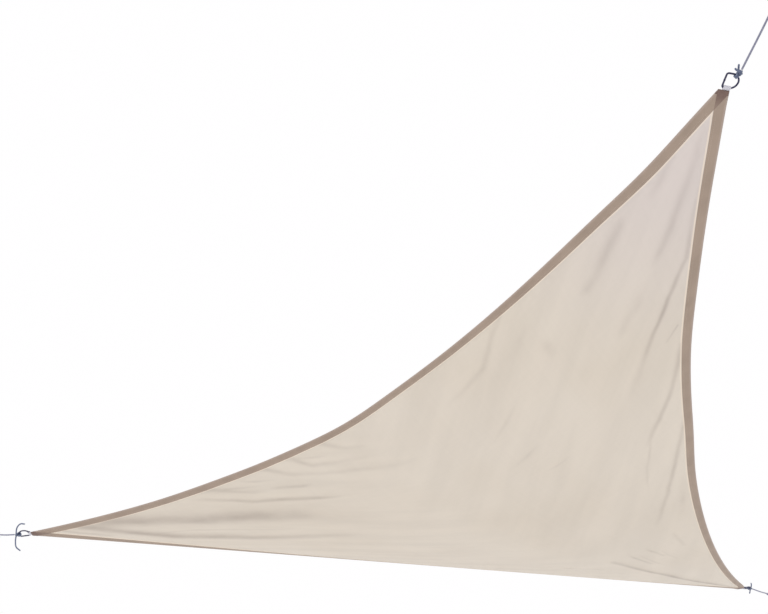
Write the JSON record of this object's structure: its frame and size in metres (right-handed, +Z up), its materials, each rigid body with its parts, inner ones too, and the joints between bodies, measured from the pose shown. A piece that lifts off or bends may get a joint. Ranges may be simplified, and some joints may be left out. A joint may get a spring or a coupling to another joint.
{
  "type": "shade sail",
  "caption": "Three-cornered tension shade sail of translucent hemmed cloth with hollow edges, D-rings in webbing loops at its corners and short knotted tether ropes.",
  "frame": {"origin": "hooking point of the high corner's rope eye", "axes": "+Z is up; +X to the right and +Y away, as seen from below the sail's left edge, with the left corner at -X and the right corner at +X, both beyond the high corner in +Y"},
  "size_m": [3.8427, 3.5837, 1.8405],
  "materials": {
    "cloth": "matte, translucent, plain weave",
    "webbing": "matte woven tape",
    "steel": "polished",
    "cord": "braided, soft sheen"
  },
  "bodies": {
    "root": {"sail_cloth": "cloth", "d_ring_high": "steel", "webbing_loop_high": "webbing", "ring_knot_high": "cord", "rope_high": "cord", "rope_eye_high": "cord", "d_ring_left": "steel", "webbing_loop_left": "webbing", "ring_knot_left": "cord", "rope_left": "cord", "rope_eye_left": "cord", "d_ring_right": "steel", "webbing_loop_right": "webbing", "ring_knot_right": "cord", "rope_right": "cord", "rope_eye_right": "cord"}
  },
  "joints": []
}
